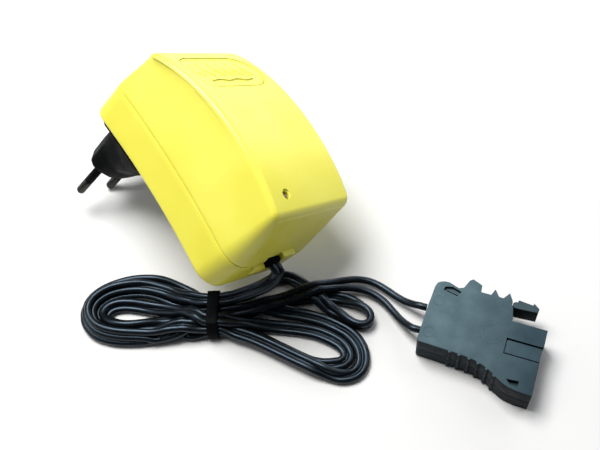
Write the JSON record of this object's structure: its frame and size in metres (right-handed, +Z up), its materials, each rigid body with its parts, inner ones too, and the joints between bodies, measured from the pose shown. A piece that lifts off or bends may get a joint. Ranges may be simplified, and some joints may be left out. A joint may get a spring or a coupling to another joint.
{
  "type": "wall-plug battery charger",
  "caption": "Wall-plug charger: bowed yellow housing with a round-pin mains plug, tied twin cord and a latching two-way connector.",
  "frame": {"origin": "on the resting surface, under the middle of the adapter's box (cord and connector left out)", "axes": "+X along the connector, towards its mating end; +Z up from the resting surface"},
  "size_m": [0.2197, 0.1244, 0.0904],
  "materials": {
    "yellow_plastic": "satin",
    "black_plastic": "satin",
    "black_pvc": "satin",
    "slate_plastic": "matt",
    "plated_steel": "satin",
    "core_steel": "varnished",
    "copper_wire": "enamelled",
    "brass": "satin",
    "pale_plastic": "matt",
    "board_green": "satin",
    "component_black": "satin",
    "fuse_glass": "clear",
    "lamp_red": "clear"
  },
  "bodies": {
    "charger": {"front_cover": "yellow_plastic", "back_shell": "yellow_plastic", "badge_plate": "yellow_plastic", "plug_base": "black_plastic", "plug_block": "black_plastic", "sleeve_left": "black_plastic", "sleeve_right": "black_plastic", "cord_gland": "black_pvc", "lead_a": "black_pvc", "lead_b": "black_pvc", "cord_hank": "black_pvc", "side_loop": "black_pvc", "cord_tie": "black_pvc", "wire_a": "black_pvc", "wire_b": "black_pvc", "connector_shell": "slate_plastic", "connector_cover": "slate_plastic", "pin_left": "plated_steel", "pin_right": "plated_steel", "screw_left": "plated_steel", "screw_right": "plated_steel", "transformer_core": "core_steel", "primary_winding": "copper_wire", "secondary_winding": "copper_wire", "strap_left": "brass", "strap_right": "brass", "terminal_a": "brass", "terminal_b": "brass", "transformer_bobbin": "pale_plastic", "resistor": "pale_plastic", "terminal_keeper": "pale_plastic", "circuit_board": "board_green", "diode_1": "component_black", "diode_2": "component_black", "diode_3": "component_black", "diode_4": "component_black", "capacitor": "component_black", "fuse": "fuse_glass", "status_led": "lamp_red"},
    "latch": {"connector_latch": "slate_plastic"}
  },
  "joints": [
    {"name": "latch_flex", "type": "hinge", "parent": "charger", "child": "latch", "pos_m": [0.14226, -0.01037, 0.0101], "axis": [0, 0, 1], "range_deg": [-10, 0], "stiffness_Nm_per_rad": 0.2}
  ]
}
